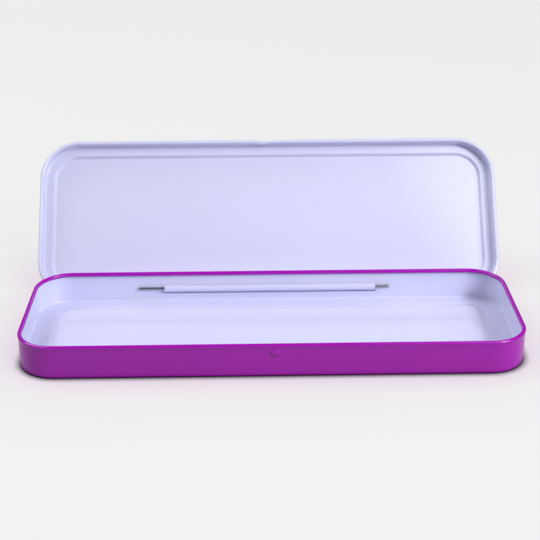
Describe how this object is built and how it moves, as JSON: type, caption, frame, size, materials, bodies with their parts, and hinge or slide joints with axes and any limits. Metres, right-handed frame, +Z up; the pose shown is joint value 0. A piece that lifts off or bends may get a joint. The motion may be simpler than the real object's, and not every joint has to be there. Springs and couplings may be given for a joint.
{
  "type": "pencil tin",
  "caption": "Shallow hinged tin box for pencils: a tray with a curled rim and a raised floor panel, and a skirted lid that turns on a wire in a rolled barrel.",
  "frame": {"origin": "centre of the tray's foot, on the surface that the tin stands on", "axes": "+X along the tin's length to the right of someone who opens it, +Y towards the hinge, +Z up"},
  "size_m": [0.194, 0.1093, 0.0553],
  "materials": {
    "purple_enamel": "gloss enamel on tinplate",
    "lavender_enamel": "gloss enamel on tinplate",
    "bare_steel": "drawn wire"
  },
  "bodies": {
    "tray": {"base_tray": "purple_enamel", "hinge_wire": "bare_steel"},
    "lid": {"lid": "lavender_enamel"}
  },
  "joints": [
    {"name": "lid_hinge", "type": "hinge", "parent": "tray", "child": "lid", "pos_m": [0, 0.0314, 0.00574], "axis": [1, 0, 0], "range_deg": [0, 128]}
  ]
}
